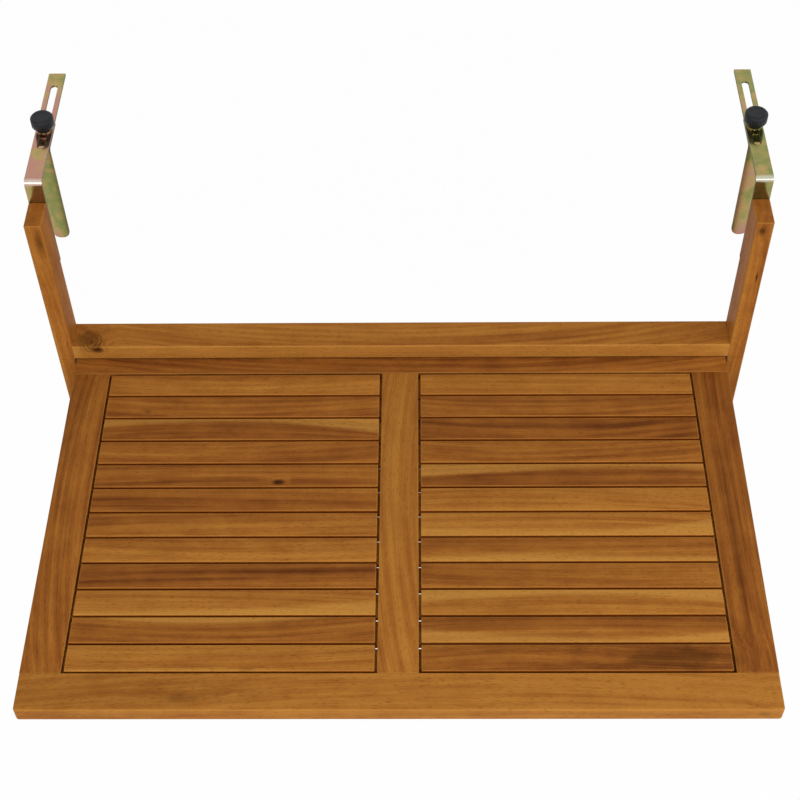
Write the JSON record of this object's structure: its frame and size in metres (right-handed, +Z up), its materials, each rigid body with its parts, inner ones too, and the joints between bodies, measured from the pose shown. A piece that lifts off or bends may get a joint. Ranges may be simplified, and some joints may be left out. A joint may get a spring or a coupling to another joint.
{
  "type": "folding balcony table",
  "caption": "Slatted wooden table that hangs on a balcony railing from two clamp straps and folds down flat, held level by a folding prop frame.",
  "frame": {"origin": "the railing's front top edge, midway between the two clamps: where the straps' legs and undersides meet", "axes": "+X along the railing to the user's right, +Y from the table to the railing, +Z up"},
  "size_m": [0.639, 0.541, 0.4132],
  "materials": {
    "frame_wood": "oiled acacia",
    "slat_wood": "oiled acacia",
    "dowel_wood": "raw beech",
    "plated_strap": "yellow chromated zinc",
    "fastener_steel": "yellow chromated zinc",
    "black_knob": "moulded black",
    "black_washer": "black nylon"
  },
  "bodies": {
    "hanging_frame": {"left_arm": "frame_wood", "right_arm": "frame_wood", "back_rail": "frame_wood", "rail_screws": "fastener_steel", "left_bracket": "plated_strap", "right_bracket": "plated_strap", "bracket_screws": "fastener_steel", "pivot_bolts": "fastener_steel", "pivot_washers": "black_washer", "prop_bolts": "fastener_steel", "prop_washers": "black_washer", "prop_nuts": "fastener_steel"},
    "tabletop": {"front_rail": "frame_wood", "rear_rail": "frame_wood", "left_stile": "frame_wood", "centre_stile": "frame_wood", "right_stile": "frame_wood", "left_slat_01": "slat_wood", "left_slat_02": "slat_wood", "left_slat_03": "slat_wood", "left_slat_04": "slat_wood", "left_slat_05": "slat_wood", "left_slat_06": "slat_wood", "left_slat_07": "slat_wood", "left_slat_08": "slat_wood", "left_slat_09": "slat_wood", "left_slat_10": "slat_wood", "left_slat_11": "slat_wood", "left_slat_12": "slat_wood", "right_slat_01": "slat_wood", "right_slat_02": "slat_wood", "right_slat_03": "slat_wood", "right_slat_04": "slat_wood", "right_slat_05": "slat_wood", "right_slat_06": "slat_wood", "right_slat_07": "slat_wood", "right_slat_08": "slat_wood", "right_slat_09": "slat_wood", "right_slat_10": "slat_wood", "right_slat_11": "slat_wood", "right_slat_12": "slat_wood", "frame_dowels": "dowel_wood", "pivot_inserts": "fastener_steel", "stop_cleats": "frame_wood", "cleat_screws": "fastener_steel"},
    "prop": {"left_strut": "frame_wood", "right_strut": "frame_wood", "prop_bar": "frame_wood", "prop_screws": "fastener_steel"},
    "left_clamp": {"left_hook": "plated_strap", "left_clamp_nut": "fastener_steel", "left_clamp_washer": "fastener_steel"},
    "right_clamp": {"right_hook": "plated_strap", "right_clamp_nut": "fastener_steel", "right_clamp_washer": "fastener_steel"},
    "left_knob": {"left_knob": "black_knob", "left_stud": "fastener_steel"},
    "right_knob": {"right_knob": "black_knob", "right_stud": "fastener_steel"}
  },
  "joints": [
    {"name": "table_fold", "type": "hinge", "parent": "hanging_frame", "child": "tabletop", "pos_m": [0, -0.0245, -0.1975], "axis": [1, 0, 0], "range_deg": [0, 90]},
    {"name": "prop_fold", "type": "hinge", "parent": "hanging_frame", "child": "prop", "pos_m": [0, -0.0095, -0.36601], "axis": [1, 0, 0], "range_deg": [0, 144]},
    {"name": "left_clamp_slide", "type": "slide", "parent": "hanging_frame", "child": "left_clamp", "axis": [0, 1, 0], "range_m": [-0.021, 0.057]},
    {"name": "left_knob_turn", "type": "hinge", "parent": "left_clamp", "child": "left_knob", "pos_m": [-0.3095, 0.066, 0], "axis": [0, 0, 1], "continuous": true},
    {"name": "right_clamp_slide", "type": "slide", "parent": "hanging_frame", "child": "right_clamp", "axis": [0, 1, 0], "range_m": [-0.021, 0.057]},
    {"name": "right_knob_turn", "type": "hinge", "parent": "right_clamp", "child": "right_knob", "pos_m": [0.3095, 0.066, 0], "axis": [0, 0, 1], "continuous": true}
  ],
  "couplings": [
    {"joint": "prop_fold", "follows": "table_fold", "ratio": 1.6}
  ]
}
